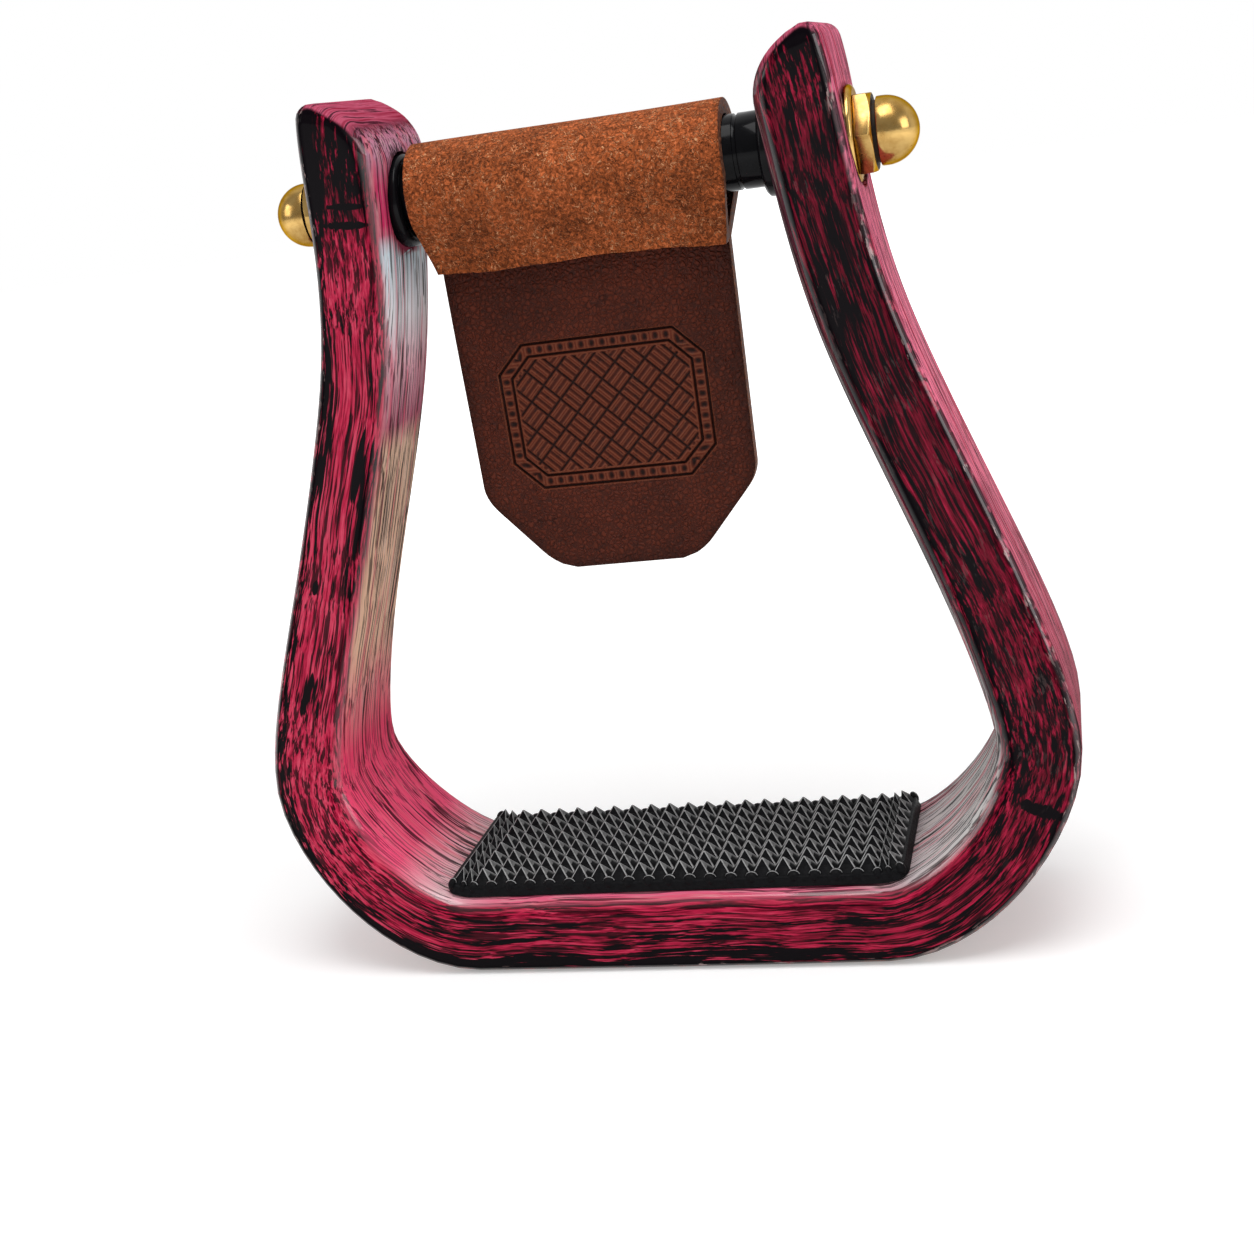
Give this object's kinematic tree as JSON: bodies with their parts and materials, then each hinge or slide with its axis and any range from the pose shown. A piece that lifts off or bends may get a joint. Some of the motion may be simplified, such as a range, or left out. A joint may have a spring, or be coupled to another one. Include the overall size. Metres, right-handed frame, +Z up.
{
  "type": "western bell stirrup",
  "caption": "Wooden western bell stirrup with a bolted roller bar, a folded leather keeper with a long flap, and a studded rubber tread.",
  "frame": {"origin": "middle of the flat underside of the footbed", "axes": "+X across the stirrup towards its right neck, +Y away from the viewer along the foot, +Z up towards the bolt"},
  "size_m": [0.1714, 0.044, 0.1834],
  "materials": {
    "lacquered_oak": "distressed raspberry stain with black grain under clear gloss lacquer, paler and bare inside",
    "black_rubber": "moulded, satin",
    "bolt_steel": "plain zinc",
    "black_enamel": "gloss black",
    "black_nylon": "smooth black",
    "brown_leather": "smooth dark brown grain side on the flap, orange brown suede side on the wrap",
    "polished_brass": "polished with light handling marks"
  },
  "bodies": {
    "frame": {"stirrup_frame": "lacquered_oak", "rubber_tread": "black_rubber", "through_bolt": "bolt_steel", "end_collar_left": "black_nylon", "end_collar_right": "black_nylon", "washer_left": "polished_brass", "washer_right": "polished_brass", "cap_nut_left": "polished_brass", "cap_nut_right": "polished_brass"},
    "roller": {"roller": "black_enamel"},
    "keeper": {"leather_keeper": "brown_leather"}
  },
  "joints": [
    {"name": "roller_spin", "type": "hinge", "parent": "frame", "child": "roller", "pos_m": [0, 0, 0.1626], "axis": [1, 0, 0], "continuous": true},
    {"name": "keeper_swing", "type": "hinge", "parent": "frame", "child": "keeper", "pos_m": [0, 0, 0.1626], "axis": [1, 0, 0], "continuous": true}
  ]
}
